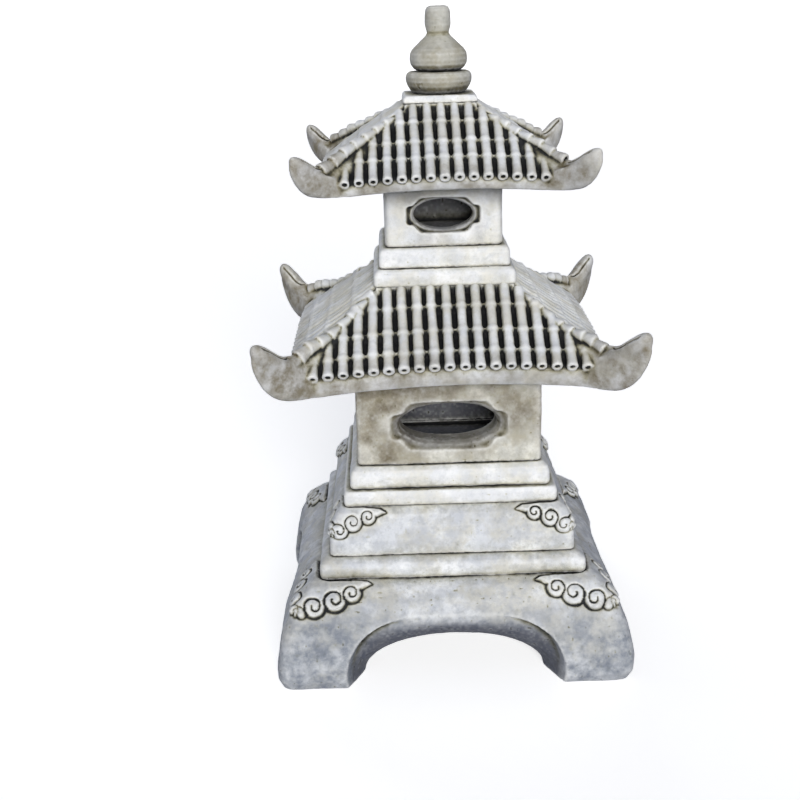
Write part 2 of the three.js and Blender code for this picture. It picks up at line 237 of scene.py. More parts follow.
def noise(points, size, seed=0):
    """Smooth noise in -1 to 1 with features of about that size."""
    scaled = points / size + 1000.0
    base = np.floor(scaled).astype(np.int64)
    part = scaled - base
    part = part * part * (3 - 2 * part)
    total = np.zeros(len(points))
    for dx in (0, 1):
        wx = part[:, 0] if dx else 1 - part[:, 0]
        for dy in (0, 1):
            wy = part[:, 1] if dy else 1 - part[:, 1]
            for dz in (0, 1):
                wz = part[:, 2] if dz else 1 - part[:, 2]
                total += wx * wy * wz * lattice(base + (dx, dy, dz), seed)
    return total


def smoothstep(low, high, value):
    t = np.clip((value - low) / (high - low), 0, 1)
    return t * t * (3 - 2 * t)


# ---- From closed surfaces to weathered stone ----

def new_object(name, part):
    mesh = bpy.data.meshes.new(name)
    mesh.from_pydata(part[0].tolist(), [], part[1])
    work = bmesh.new()
    work.from_mesh(mesh)
    bmesh.ops.recalc_face_normals(work, faces=work.faces)
    work.to_mesh(mesh)
    work.free()
    obj = bpy.data.objects.new(name, mesh)
    bpy.context.scene.collection.objects.link(obj)
    return obj


def apply_modifiers(obj):
    bpy.context.view_layer.update()
    result = bpy.data.meshes.new_from_object(obj.evaluated_get(bpy.context.evaluated_depsgraph_get()))
    old = obj.data
    obj.modifiers.clear()
    obj.data = result
    bpy.data.meshes.remove(old)


def cut(obj, cutters):
    """Takes closed cutters out of an object."""
    tools = [new_object("cutter", cutter) for cutter in cutters]
    for tool in tools:
        step = obj.modifiers.new("cut", "BOOLEAN")
        step.operation, step.solver, step.object = "DIFFERENCE", "MANIFOLD", tool
    apply_modifiers(obj)
    for tool in tools:
        mesh = tool.data
        bpy.data.objects.remove(tool)
        bpy.data.meshes.remove(mesh)


def remesh(obj, voxel):
    step = obj.modifiers.new("remesh", "REMESH")
    step.mode, step.voxel_size, step.adaptivity = "VOXEL", voxel, 0.0
    apply_modifiers(obj)


def read_mesh(mesh):
    points = np.zeros(len(mesh.vertices) * 3, np.float32)
    mesh.vertices.foreach_get("co", points)
    edges = np.zeros(len(mesh.edges) * 2, np.int32)
    mesh.edges.foreach_get("vertices", edges)
    return points.reshape(-1, 3).astype(float), edges.reshape(-1, 2)


def read_normals(mesh, points):
    mesh.vertices.foreach_set("co", points.astype(np.float32).ravel())
    mesh.update()
    normals = np.zeros(len(mesh.vertices) * 3, np.float32)
    mesh.vertex_normals.foreach_get("vector", normals)
    return normals.reshape(-1, 3).astype(float)


def relax(points, edges, steps, strength=0.5):
    """Moves each point towards the middle of its neighbours; strength may differ from point to point."""
    a, b = edges[:, 0], edges[:, 1]
    n = len(points)
    degree = np.maximum(np.bincount(a, minlength=n) + np.bincount(b, minlength=n), 1)[:, None]
    for _ in range(steps):
        total = np.stack([np.bincount(a, points[b, k], n) + np.bincount(b, points[a, k], n)
                          for k in range(3)], 1)
        points = points + strength * (total / degree - points)
    return points


# Unevenness as size and height, and the kinds of damage, all in millimetres.
UNEVENNESS = [(46.0, 0.55), (17.0, 0.32), (6.5, 0.17), (2.8, 0.10)]
PIT_SIZE, PIT_DEPTH = 3.4, 0.30
CHIP_SIZE, CHIP_DEPTH = 7.0, 0.75
NICK_SIZE, NICK_DEPTH = 3.1, 0.45
SHARP_EDGE = (0.12, 0.5)


def weather(points, normals, edges, voxel, seed, rough):
    """Pushes the surface in and out: broad unevenness, casting grain, pits, and chips on sharp edges."""
    soft = relax(points, edges, max(4, int(round(6 / voxel ** 2))))
    edge = smoothstep(*SHARP_EDGE, -((soft - points) * normals).sum(1))
    chipped = edge * smoothstep(0.15, 0.75, noise(points, CHIP_SIZE, seed + 5))
    nicked = edge * smoothstep(0.45, 0.8, noise(points, NICK_SIZE, seed + 6))
    pits = smoothstep(0.66, 0.92, noise(points, PIT_SIZE, seed + 4))
    amount = sum(height * noise(points, size, seed + k) for k, (size, height) in enumerate(UNEVENNESS))
    amount = rough * (amount - PIT_DEPTH * pits) - CHIP_DEPTH * chipped - NICK_DEPTH * nicked
    return points + normals * amount[:, None]


def hollows(points, normals, edges, voxel):
    """How sunk (above 0) or proud (below 0) each point is against its surroundings, near and wide."""
    near = relax(points, edges, max(3, int(round(5 / voxel ** 2))), 0.9)
    wide = relax(near, edges, max(8, int(round(34 / voxel ** 2))), 0.9)
    return ((near - points) * normals).sum(1), ((wide - points) * normals).sum(1)


def write_attribute(mesh, name, values):
    layer = mesh.attributes.new(name, "FLOAT", "POINT")
    layer.data.foreach_set("value", values.astype(np.float32))


SOFT_STEPS = 45
NEAR_SINK, WIDE_SINK, EDGE_SWELL = 0.45, 1.6, 0.35


def finish_stone(name, body, slot, obj, voxel, faces, rounding, seed, rough=1.0, carve=None, mark=None,
                 soften=None):
    """Takes a closed surface to a finished, weathered piece that stands for one CAD node.

    carve moves points along their normals, mark gives the painted shade and the stains, which on some
    pieces hold painted shade too, at each point, and soften says where the surface is worn smooth.
    """
    remesh(obj, voxel)
    mesh = obj.data
    points, edges = read_mesh(mesh)
    points = relax(points, edges, rounding)
    if soften:
        points = relax(points, edges, SOFT_STEPS, 0.5 * soften(points)[:, None])
    if carve:
        points = carve(points, read_normals(mesh, points))
        points = relax(points, edges, 1)
    points = weather(points, read_normals(mesh, points), edges, voxel, seed, rough)
    normals = read_normals(mesh, points)
    near, wide = hollows(points, normals, edges, voxel)
    # mark gives painted shade, and stains that on some pieces hold painted shade too.
    painted_shade, stain_and_shade = mark(points) if mark else np.zeros((2, len(points)))
    # Sunk points are darkened, partly as soiling and partly as painted shade.
    grime_and_shade = np.clip(near / NEAR_SINK - 0.08, 0, 1) * 0.6 + np.clip(wide / WIDE_SINK, 0, 1) * 0.6
    write_attribute(mesh, "grime_and_shade", grime_and_shade)
    write_attribute(mesh, "painted_shade", painted_shade)
    write_attribute(mesh, "stain_and_shade", stain_and_shade)
    write_attribute(mesh, "wear", np.clip(-near / EDGE_SWELL, 0, 1))
    triangles = 2 * len(mesh.polygons)
    if triangles > faces:
        step = obj.modifiers.new("thin", "DECIMATE")
        step.ratio = faces / triangles
        apply_modifiers(obj)
        mesh = obj.data
    points, _ = read_mesh(mesh)
    points[:, 2] = np.maximum(points[:, 2], 0)
    mesh.vertices.foreach_set("co", (points * MM).astype(np.float32).ravel())
    mesh.shade_smooth()
    mesh.update()
    mesh.materials.clear()
    mesh.materials.append(MATERIALS[slot])
    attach(obj, body)
    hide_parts(name)
    return obj


# ---- Stone finishes ----

class Graph:
    """Short way to write a node tree."""

    def __init__(self, tree):
        self.tree = tree

    def node(self, kind, inputs=None, **settings):
        node = self.tree.nodes.new(kind)
        for key, value in settings.items():
            setattr(node, key, value)
        for key, value in (inputs or {}).items():
            socket = node.inputs[key]
            if isinstance(value, bpy.types.NodeSocket):
                self.tree.links.new(value, socket)
            else:
                socket.default_value = value
        return node

    def math(self, operation, a, b=0.0, clamp=False):
        return self.node("ShaderNodeMath", {0: a, 1: b}, operation=operation, use_clamp=clamp).outputs[0]

    def noise(self, place, scale, detail=3.0, roughness=0.55):
        node = self.node("ShaderNodeTexNoise", {"Vector": place, "Scale": scale, "Detail": detail,
                                                "Roughness": roughness})
        return node.outputs["Fac"]

    def span(self, value, low, high, to_low=0.0, to_high=1.0):
        node = self.node("ShaderNodeMapRange", {"Value": value, "From Min": low, "From Max": high,
                                                "To Min": to_low, "To Max": to_high})
        return node.outputs["Result"]

    def mix(self, factor, a, b, blend="MIX"):
        node = self.node("ShaderNodeMix", {"Factor": factor}, data_type="RGBA", blend_type=blend)
        for socket, value in ((node.inputs[6], a), (node.inputs[7], b)):
            if isinstance(value, bpy.types.NodeSocket):
                self.tree.links.new(value, socket)
            else:
                socket.default_value = (*value, 1)
        return node.outputs[2]

    def ramp(self, factor, stops):
        node = self.node("ShaderNodeValToRGB", {"Fac": factor})
        ramp = node.color_ramp
        while len(ramp.elements) > 1:
            ramp.elements.remove(ramp.elements[-1])
        ramp.elements[0].position, ramp.elements[0].color = stops[0][0], (*stops[0][1], 1)
        for position, colour in stops[1:]:
            ramp.elements.new(position).color = (*colour, 1)
        return node.outputs["Color"]

    def attribute(self, name):
        return self.node("ShaderNodeAttribute", attribute_name=name).outputs["Fac"]


# Multiplies the colour as soiling and painted shade build up, from bare stone to a black crevice.
WASH_AND_SHADE = [(0.0, (1.0, 1.0, 1.0)), (0.18, (0.84, 0.82, 0.71)), (0.42, (0.44, 0.41, 0.29)),
        (0.72, (0.12, 0.118, 0.095)), (1.0, (0.022, 0.024, 0.026))]
# Tint of the painted shade that falls near other surfaces.
SHADE_TINT = (0.46, 0.43, 0.34)
# Painted shade colour for vaults, rooms and the gaps between tile rows.
PAINTED_SHADE_COLOUR = (0.066, 0.072, 0.098)
WORN = (0.95, 0.955, 0.94)
SPECK = (0.22, 0.21, 0.17)
CLOUD, HAZE, PATCH, MOTTLE, GRAIN = 21.0, 27.0, 60.0, 140.0, 620.0
WIDE_REACH, NEAR_REACH = 0.07, 0.017
BUMP_HEIGHT, BUMP_STRENGTH = 0.0008, 0.5


def stone(name, pale, cool, warm, stain_and_shade, cool_share, warm_share, shade, crevice, seed):
    """Weathered cast stone: cloudy pale grey with stains in patches, darkened in hollows by soiling and
    painted shade, and given painted shade near other surfaces and in vaults, rooms and gaps.

    shade is how strongly painted shade darkens the stone beside its neighbours, and crevice how dark its
    joints and creases get with soiling and painted shade.
    """
    material = bpy.data.materials.new(name)
    material.use_nodes = True
    g = Graph(material.node_tree)
    shader = material.node_tree.nodes["Principled BSDF"]
    place = g.node("ShaderNodeTexCoord").outputs["Object"]
    place = g.node("ShaderNodeMapping", {"Vector": place, "Location": (seed * 1.7, seed * 0.9, seed * 2.3)})
    place = place.outputs["Vector"]
    other = g.node("ShaderNodeMapping", {"Vector": place, "Location": (3.1, 7.7, 5.3)}).outputs["Vector"]
    cloud = g.noise(place, CLOUD, 6.0, 0.62)
    haze = g.noise(other, HAZE, 6.0, 0.60)
    patch = g.noise(other, PATCH, 5.0, 0.65)
    mottle = g.noise(place, MOTTLE, 4.0, 0.7)
    grain = g.noise(place, GRAIN, 3.0, 0.7)

    cool_field = g.math("MULTIPLY", g.span(cloud, 0.43, 0.57), cool_share)
    colour = g.mix(cool_field, pale, cool)
    warm_field = g.math("MULTIPLY", g.span(haze, 0.45, 0.58), warm_share)
    colour = g.mix(warm_field, colour, warm)
    colour = g.mix(g.span(patch, 0.46, 0.62, 0.0, 0.50), colour, cool)
    colour = g.mix(g.span(mottle, 0.46, 0.66, 0.0, 0.40), colour, cool)
    # Stains, which on the lower lamp box and the fascia also hold painted shade.
    stain_and_shade_amount = g.math("MULTIPLY", g.attribute("stain_and_shade"), g.span(patch, 0.36, 0.64, 0.45, 1.05), clamp=True)
    colour = g.mix(stain_and_shade_amount, colour, stain_and_shade)

    # Painted shade: the stone darkens where other surfaces are near, as under the eaves and between courses.
    wide = g.node("ShaderNodeAmbientOcclusion", {"Distance": WIDE_REACH}, samples=6).outputs["AO"]
    wide = g.math("MULTIPLY", g.span(wide, 0.92, 0.30), g.span(haze, 0.40, 0.60, 0.55, 1.25))
    wide = g.math("MULTIPLY", wide, shade, clamp=True)
    colour = g.mix(wide, colour, g.mix(1.0, colour, SHADE_TINT, "MULTIPLY"))

    # Painted shade: vaults, rooms and the gaps between tile rows are darkened towards a dark blue.
    colour = g.mix(g.attribute("painted_shade"), colour, PAINTED_SHADE_COLOUR)
    # Soiling and painted shade: creases, joints and hollows darken, down to black, where nearby surfaces
    # close in.
    near = g.node("ShaderNodeAmbientOcclusion", {"Distance": NEAR_REACH}, samples=8).outputs["AO"]
    dirt_and_shade = g.math("MULTIPLY", g.span(near, 0.93, 0.20), crevice)
    dirt_and_shade = g.math("ADD", dirt_and_shade, g.attribute("grime_and_shade"))
    dirt_and_shade = g.math("MULTIPLY", dirt_and_shade, g.span(patch, 0.30, 0.68, 0.75, 1.25))
    dirt_and_shade = g.math("ADD", dirt_and_shade, g.span(mottle, 0.40, 0.75, -0.06, 0.08), clamp=True)
    colour = g.mix(1.0, colour, g.ramp(dirt_and_shade, WASH_AND_SHADE), "MULTIPLY")
    worn = g.math("MULTIPLY", g.attribute("wear"), g.span(mottle, 0.30, 0.60, 0.1, 0.7))
    colour = g.mix(worn, colour, WORN)
    colour = g.mix(g.span(grain, 0.26, 0.36, 0.35, 0.0), colour, SPECK)

    lumps = g.math("ADD", g.math("MULTIPLY", mottle, 0.8), g.math("MULTIPLY", grain, 0.35))
    bump = g.node("ShaderNodeBump", {"Height": lumps, "Strength": BUMP_STRENGTH, "Distance": BUMP_HEIGHT})
    g.tree.links.new(bump.outputs["Normal"], shader.inputs["Normal"])
    g.tree.links.new(colour, shader.inputs["Base Color"])
    g.tree.links.new(g.span(mottle, 0.3, 0.7, 0.72, 0.95), shader.inputs["Roughness"])
    shader.inputs["Specular IOR Level"].default_value = 0.3
    return material


COOL, WARM, BROWN = (0.44, 0.47, 0.53), (0.50, 0.47, 0.36), (0.16, 0.13, 0.08)
FINISHES = {
    "base_stone": dict(pale=(0.88, 0.90, 0.92), cool=COOL, warm=WARM, stain_and_shade=(0.20, 0.225, 0.27),
                       cool_share=0.45, warm_share=0.50, shade=1.0, crevice=1.0, seed=1),
    "pale_stone": dict(pale=(0.93, 0.94, 0.95), cool=(0.62, 0.65, 0.70), warm=(0.66, 0.63, 0.50), stain_and_shade=BROWN,
                       cool_share=0.42, warm_share=0.42, shade=0.75, crevice=0.95, seed=2),
    "lamp_stone": dict(pale=(0.80, 0.79, 0.72), cool=(0.46, 0.46, 0.43), warm=(0.36, 0.32, 0.21), stain_and_shade=BROWN,
                       cool_share=0.55, warm_share=0.6, shade=1.0, crevice=0.95, seed=3),
    "roof_stone": dict(pale=(0.90, 0.92, 0.95), cool=(0.54, 0.57, 0.62), warm=(0.52, 0.48, 0.34),
                       stain_and_shade=(0.20, 0.17, 0.11), cool_share=0.5, warm_share=0.5, shade=0.5, crevice=0.85,
                       seed=4),
    "finial_stone": dict(pale=(0.55, 0.54, 0.48), cool=(0.36, 0.36, 0.33), warm=(0.32, 0.29, 0.20),
                         stain_and_shade=BROWN, cool_share=0.6, warm_share=0.7, shade=0.9, crevice=0.95, seed=5),
}
MATERIALS = {name: stone(name, **finish) for name, finish in FINISHES.items()}


# ---- Scroll ornament ----

class Scroll:
    """Relief that wraps a corner: a band along the top edge with three curls and two small lobes.

    Points are measured from the middle of a side, and down the surface from its top edge.
    """

    def __init__(self, edge, band, curls, lobes, height):
        self.edge = np.array(edge, float)
        self.band = np.array(band, float)
        self.curls, self.lobes, self.height = curls, lobes, height
        steps = np.linalg.norm(np.diff(self.edge, axis=0), axis=1)
        self.down = np.concatenate([[0], np.cumsum(steps)])

    def depth(self, z):
        heights = self.edge[:, 1]
        return np.interp(-z, -heights, self.down)

    def inside_band(self, across, down):
        """Signed distance to the band, above 0 inside."""
        place = np.stack([across, down], 1)
        nearest = np.full(len(place), 1e9)
        inside = np.zeros(len(place), bool)
        for start, end in zip(self.band, np.roll(self.band, -1, axis=0)):
            side = end - start
            t = np.clip(((place - start) @ side) / (side @ side), 0, 1)
            nearest = np.minimum(nearest, np.linalg.norm(place - start - t[:, None] * side, axis=1))
            crosses = (start[1] > down) != (end[1] > down)
            reach = start[0] + (down - start[1]) * side[0] / (side[1] if side[1] else 1e-9)
            inside ^= crosses & (across < reach)
        return np.where(inside, nearest, -nearest)

    def relief(self, across, down):
        """Height of the ornament over the stone."""
        rounds = self.curls + self.lobes
        inside = self.inside_band(across, down)
        for x, y, radius in rounds:
            inside = np.maximum(inside, radius - np.hypot(across - x, down - y))
        height = self.height * smoothstep(-0.6, 2.2, inside)
        groove = np.zeros(len(across))
        for x, y, radius in self.curls:
            dx, dy = across - x, down - y
            distance = np.hypot(dx, dy)
            angle = np.mod(np.arctan2(-dy, dx) + 0.9, 2 * math.pi)
            for turn in (0, 1):
                swept = angle + turn * 2 * math.pi
                path = radius * (0.98 - 0.105 * swept)
                width = np.abs(distance - path)
                valid = (swept < 7.6) & (path > 0)
                groove = np.maximum(groove, np.where(valid, 1 - smoothstep(0.35, 1.35, width), 0))
            height += 0.9 * (1 - np.clip(distance / radius, 0, 1) ** 2) * (distance < radius)
        for x, y, radius in self.lobes:
            rim = np.abs(np.hypot(across - x, down - y) - radius)
            groove = np.maximum(groove, 0.8 * (1 - smoothstep(0.3, 1.2, rim)))
            height += 0.6 * (np.hypot(across - x, down - y) < radius)
        height -= 2.6 * groove * smoothstep(-0.5, 1.0, inside)
        ditch = smoothstep(-3.2, -0.9, inside) * (1 - smoothstep(-0.9, 0.2, inside))
        return height - 0.8 * ditch

    def carve(self, points, normals):
        flat = np.abs(points[:, :2])
        across, reach = flat.min(1), flat.max(1)
        z = points[:, 2]
        low, high = self.edge[-1, 1], self.edge[0, 1]
        half = np.interp(-z, -self.edge[:, 1], self.edge[:, 0])
        near = (z > low) & (z < high + 0.4) & (reach > half - 9.0) & (across > self.band[:, 0].min() - 6)
        near &= normals[:, 2] > -0.3
        moved = points.copy()
        spot = np.where(near)[0]
        lift = self.relief(across[spot], self.depth(z[spot]))
        lift *= smoothstep(low, low + 4, z[spot])
        moved[spot] += normals[spot] * lift[:, None]
        return moved


# ---- Base courses ----

LEG_RADIUS = 14.0
LEG_PROFILE = [(139, 103.7), (149, 98.5), (162, 87), (171, 74), (178, 60), (183, 36), (184.5, 25), (184, 10),
               (180, 0)]
PLINTH_PROFILE = [(109.5, 173.7), (118, 166.5), (124.5, 156), (127.6, 143), (127.8, 125.5)]

LEG_SCROLL = Scroll(
    edge=LEG_PROFILE[:5],
    band=[(85, 6), (90, 2.5), (120, 1), (175, 1), (175, 39), (160, 37), (146, 30), (127, 22), (107, 16),
          (95, 12)],
    curls=[(105.5, 17, 9.5), (123, 23.5, 12), (144, 30, 11)],
    lobes=[(157.5, 36.5, 5), (165.5, 35, 5.5)],
    height=3.6,
)
PLINTH_SCROLL = Scroll(
    edge=PLINTH_PROFILE[:4],
    band=[(68, 8), (74, 3.5), (92, 1.5), (135, 1.5), (135, 30), (117, 25), (103, 17), (87, 12.5), (77, 12)],
    curls=[(86.5, 12.5, 7.5), (102.5, 18, 9), (116.5, 26, 8.5)],
    lobes=[(125.5, 28, 4.5)],
    height=3.0,
)

ARCH = dict(mouth_half=113.0, mouth_height=77.0, mouth_power=3.0, vault_half=94.0, vault_height=40.0,
            vault_power=2.0, side_start=184.0, top_start=170.0, depth=40.0, below=6.0)


def arch_ring(distance, side, steps=40):
    reach = abs(distance)
    side_travel = min(max((ARCH["side_start"] - reach) / ARCH["depth"], 0), 1)
    top_travel = min(max((ARCH["top_start"] - reach) / ARCH["depth"], 0), 1)
    roll = math.sqrt(1 - (1 - top_travel) ** 2)
    half = ARCH["mouth_half"] + (ARCH["vault_half"] - ARCH["mouth_half"]) * side_travel
    height = ARCH["mouth_height"] + (ARCH["vault_height"] - ARCH["mouth_height"]) * roll
    power = ARCH["mouth_power"] + (ARCH["vault_power"] - ARCH["mouth_power"]) * roll
    angle = np.linspace(0, math.pi, steps)
    across = half * np.sign(np.cos(angle)) * np.abs(np.cos(angle)) ** (2 / power)
    up = height * np.abs(np.sin(angle)) ** (2 / power)
    across = np.concatenate([[-half, half], across])
    up = np.concatenate([[-ARCH["below"]] * 2, up])
    return np.column_stack([across, np.full(len(across), side * distance), up])


def arch_cutter():
    depths = [ARCH["top_start"] - ARCH["depth"] * (1 - math.cos(a)) for a in np.linspace(0, math.pi / 2, 12)]
    reach = [200.0, ARCH["side_start"], 177.0, *depths, 100.0, 50.0]
    rings = [arch_ring(d, -1) for d in reach] + [arch_ring(0, 1)] + [arch_ring(d, 1) for d in reversed(reach)]
    return shell(rings[::-1])


def mark_legs(points):
    """The feet grow darker and bluer towards the ground, and the vault under the arches gets painted shade.
    """
    flat = np.abs(points[:, :2])
    z = points[:, 2]
    halves, heights = zip(*LEG_PROFILE[::-1])
    depth = np.interp(z, heights, halves) - flat.max(1)
    # Painted shade in the vault.
    vault = 0.85 * smoothstep(2, 16, depth) + 0.08 * noise(points, 28.0, 19) * (depth > 2)
    stain_and_shade = 0.95 * smoothstep(98, 50, z) + 0.25 * noise(points, 45.0, 17) + 0.12 * noise(points, 17.0, 18)
    return np.clip(vault, 0, 0.92) * (z < 80), np.clip(stain_and_shade, 0, 0.95)


def leg_base():
    top = LEG_PROFILE[0][1]
    outer = [(0.5, 0), *reversed(LEG_PROFILE), (60, top, 1.0), (60, 110, 1.0), (0.5, 110, 0.2)]
    obj = new_object("leg_base_stone", square_stone(outer, LEG_RADIUS))
    cutter = arch_cutter()
    cut(obj, [cutter, turned(cutter, 1)])
    return finish_stone("leg_base", "base", "base_stone", obj, 1.35, 190000, 4, 11, 1.25,
                        LEG_SCROLL.carve, mark_legs)


def simple_stone(name, body, slot, profile, radius, voxel, faces, seed, carve=None, mark=None):
    obj = new_object(name + "_stone", square_stone(profile, radius))
    return finish_stone(name, body, slot, obj, voxel, faces, 3, seed, 1.0, carve, mark)


def base_courses():
    leg_base()
    simple_stone("base_slab", "base", "base_stone",
                 [(0.5, 110.5), (60.5, 110.5, 1), (60.5, 104, 1), (137.4, 104), (138.4, 108), (138.3, 117),
                  (136.8, 120), (133, 123), (129, 125.2), (54, 125.2, 1), (54, 131.2, 1), (0.5, 131.2)],
                 6, 1.1, 90000, 21)
    simple_stone("plinth_stone", "base", "base_stone",
                 [(0.5, 132), (54.5, 132, 1), (54.5, 125.5, 1), (127.8, 125.5), (127.6, 143), (124.5, 156),
                  (118, 166.5), (109.5, 173.7), (60, 173.7, 1), (60, 179.7, 1), (0.5, 179.7)],
                 7, 1.0, 180000, 31, carve=PLINTH_SCROLL.carve)
    simple_stone("lower_step", "base", "pale_stone",
                 [(0.5, 180.3), (60.5, 180.3, 1), (60.5, 174, 1), (110.6, 174), (111.4, 178), (111.4, 186),
                  (109.9, 189.9), (0.5, 189.9)],
                 5, 1.0, 70000, 41)
    simple_stone("upper_step", "base", "pale_stone",
                 [(0.5, 190.2), (103.4, 190.2), (104.2, 193), (104.2, 204), (102.5, 209), (97.5, 213.2),
                  (67.5, 213.2, 1), (67.5, 207, 1), (62, 207, 1), (62, 203, 1), (0.5, 203)],
                 5, 1.0, 80000, 51, mark=mark_sunk_floor)


# ---- Lamp boxes ----

LOWER_WINDOW = dict(z=255.0, face=[(0, 26.5), (24, 26.8), (41, 25.5), (44.5, 22), (47.5, 16.5), (51, 14.3),
                                   (56, 14), (60, 12.5), (62, 9), (62, 0)],
                    oval=(51.0, 21.0), recess=14.0, steep=0.30)
UPPER_WINDOW = dict(z=468.0, face=[(0, 18), (14, 18.1), (23, 17.8), (25, 16.6), (30, 10.6), (31.5, 9.4),
                                   (36, 9.2), (37.6, 8.4), (38, 7), (38, 0)],
                    oval=(30.0, 15.2), recess=9.0, steep=0.62)
BLIND_DEPTH = 14.0


def window_outline(quarter, spacing=2.2):
    quarter = np.array(quarter, float)
    back = quarter[::-1]
    outline = np.vstack([quarter, back[1:] * (1, -1), quarter[1:] * (-1, -1), back[1:] * (-1, 1)])
    steps = np.linalg.norm(np.diff(outline, axis=0), axis=1)
    along = np.concatenate([[0], np.cumsum(steps)])
    at = np.linspace(0, along[-1], int(along[-1] / spacing), endpoint=False)
    return np.column_stack([np.interp(at, along, outline[:, 0]), np.interp(at, along, outline[:, 1])])


def window_cutter(window, half, end):
    face = window_outline(window["face"])
    scale = np.array([window["face"][-1][0], window["face"][0][1]])
    angle = np.arctan2(face[:, 1] / scale[1], face[:, 0] / scale[0])
    oval = np.column_stack([np.cos(angle), np.sin(angle)]) * window["oval"]

    def place(outline, distance):
        return np.column_stack([outline[:, 0], np.full(len(outline), -distance), window["z"] + outline[:, 1]])

    recess, steep = window["recess"], window["steep"]
    rows = [place(face, half + recess), place(face, half),
            place(face + (oval - face) * 0.30, half - recess * steep),
            place(face + (oval - face) * 0.70, half - recess * (0.35 + 0.5 * steep)),
            place(oval, half - recess), place(oval * 0.97, end)]
    return shell(rows)


def stone_loop(profile, radius):
    """Stone with a hole through it: the profile runs once round the section and meets itself."""
    rings = np.asarray(square_rings(profile, radius))
    rows, count, _ = rings.shape
    here = np.arange(count)
    after = (here + 1) % count
    faces = []
    for row in range(rows):
        a, b = row * count, ((row + 1) % rows) * count
        faces += np.stack([a + here, a + after, b + after, b + here], -1).tolist()
    return rings.reshape(-1, 3), faces


# Half-widths in millimetres of each lamp box, of the room in it, and of where the window cuts end.
LOWER_BOX, LOWER_ROOM, LOWER_CUT = 96.2, 62.0, 48.0
UPPER_BOX, UPPER_ROOM, UPPER_CUT = 60.3, 41.0, 32.0


def mark_recess(points, half, room, recess_shade, room_shade):
    """Painted shade in the window recesses and in the room behind them."""
    reach = np.abs(points[:, :2]).max(1)
    depth = half - reach
    recess = recess_shade * smoothstep(0.8, 5.0, depth) * (depth < half - room + 1)
    return np.where(reach < room + 1.0, room_shade, recess) * (depth > 0.5)


def mark_lower_lamp(points):
    """The box under the wide eaves has brown stains, with painted shade at the top under the eaves and
    painted light low on the right.
    """
    x, z = points[:, 0], points[:, 2]
    # Painted shade at the top, painted light low on the right, lighter at the foot; the noise gives random
    # stains.
    stain_and_shade = 0.70 + 0.45 * smoothstep(225, 300, z) - 0.55 * smoothstep(-40, 60, x)
    stain_and_shade -= 0.3 * smoothstep(228, 214, z)
    stain_and_shade += 0.50 * noise(points, 33.0, 67) + 0.30 * noise(points, 14.0, 68)
    return mark_recess(points, LOWER_BOX, LOWER_ROOM, 0.45, 0.90), np.clip(stain_and_shade, 0, 0.85)


def mark_upper_lamp(points):
    # Random stains, and painted shade in the window recesses and the room.
    stain_and_shade = np.clip(0.5 * noise(points, 18.0, 77), 0, 0.5)
    return mark_recess(points, UPPER_BOX, UPPER_ROOM, 0.50, 0.80), stain_and_shade


def mark_sunk_floor(points):
    """The floor of the lower room is painted in shade."""
    reach = np.abs(points[:, :2]).max(1)
    return 0.90 * ((reach < 66) & (points[:, 2] > 199)), np.zeros(len(points))


def lamp_boxes():
    obj = new_object("lower_lamp_box_stone", stone_loop(
        [(LOWER_ROOM, 207.5, 1), (67, 207.5, 1), (67, 213.5, 1), (95.2, 213.5), (LOWER_BOX, 216),
         (LOWER_BOX, 313), (95, 315.7), (LOWER_ROOM, 315.7, 1)], 5))
    cutter = window_cutter(LOWER_WINDOW, LOWER_BOX, LOWER_CUT)
    cut(obj, [turned(cutter, k) for k in range(SIDES)])
    finish_stone("lower_lamp_box", "lower_lamp", "lamp_stone", obj, 1.1, 150000, 4, 61, 1.3,
                 mark=mark_lower_lamp)
    obj = new_object("upper_lamp_box_stone", square_stone(
        [(0.5, 442.7), (24.5, 442.7, 1), (24.5, 436.2, 1), (59.5, 436.2), (UPPER_BOX, 438.5),
         (UPPER_BOX, 501), (59.4, 503.2), (UPPER_ROOM, 503.2, 1), (UPPER_ROOM, 445, 1), (0.5, 445)], 8))
    front = window_cutter(UPPER_WINDOW, UPPER_BOX, UPPER_CUT)
    blind = window_cutter(UPPER_WINDOW, UPPER_BOX, UPPER_BOX - BLIND_DEPTH)
    cut(obj, [front] + [turned(blind, k) for k in range(1, SIDES)])
    finish_stone("upper_lamp_box", "upper_lamp", "pale_stone", obj, 0.85, 110000, 4, 71,
                 mark=mark_upper_lamp)


# ---- Roofs ----

